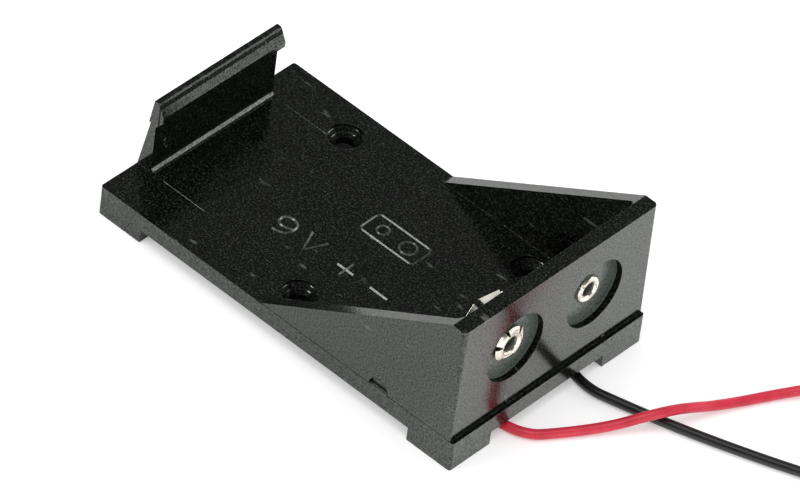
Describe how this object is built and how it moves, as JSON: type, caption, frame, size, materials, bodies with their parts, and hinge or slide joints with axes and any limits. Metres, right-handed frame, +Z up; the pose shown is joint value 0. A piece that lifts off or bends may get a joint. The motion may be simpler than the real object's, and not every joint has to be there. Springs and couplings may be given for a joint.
{
  "type": "nine-volt battery holder",
  "caption": "Open moulded tray for one nine-volt block battery, with a sprung end latch, riveted snap contacts on a braced wall, screw holes, and a red and a black lead.",
  "frame": {"origin": "under the middle of the moulding, on the plane of its feet; the leads are left out of this", "axes": "+X along the battery towards the contact wall, +Y towards the negative stud's side, +Z up out of the open tray"},
  "size_m": [0.0926, 0.0476, 0.0202],
  "materials": {
    "black_plastic": "semi-gloss black moulded plastic",
    "nickel": "bright nickel plate on spring brass",
    "rivet_metal": "bright plated brass, rolled over",
    "tinned_brass": "tin-plated brass strip",
    "solder": "dull solder",
    "tinned_copper": "tinned copper strands",
    "red_sleeve": "satin red vinyl sleeve",
    "black_sleeve": "satin black vinyl sleeve",
    "tie_plastic": "black plastic tie"
  },
  "bodies": {
    "root": {"housing": "black_plastic", "socket_contact": "nickel", "stud_contact": "nickel", "socket_rivet": "rivet_metal", "stud_rivet": "rivet_metal", "positive_tag": "tinned_brass", "negative_tag": "tinned_brass", "positive_solder": "solder", "negative_solder": "solder", "red_lead_core": "tinned_copper", "black_lead_core": "tinned_copper", "red_lead": "red_sleeve", "black_lead": "black_sleeve", "red_lead_coil": "red_sleeve", "black_lead_coil": "black_sleeve", "red_lead_end": "tinned_copper", "black_lead_end": "tinned_copper", "coil_tie": "tie_plastic"}
  },
  "joints": []
}
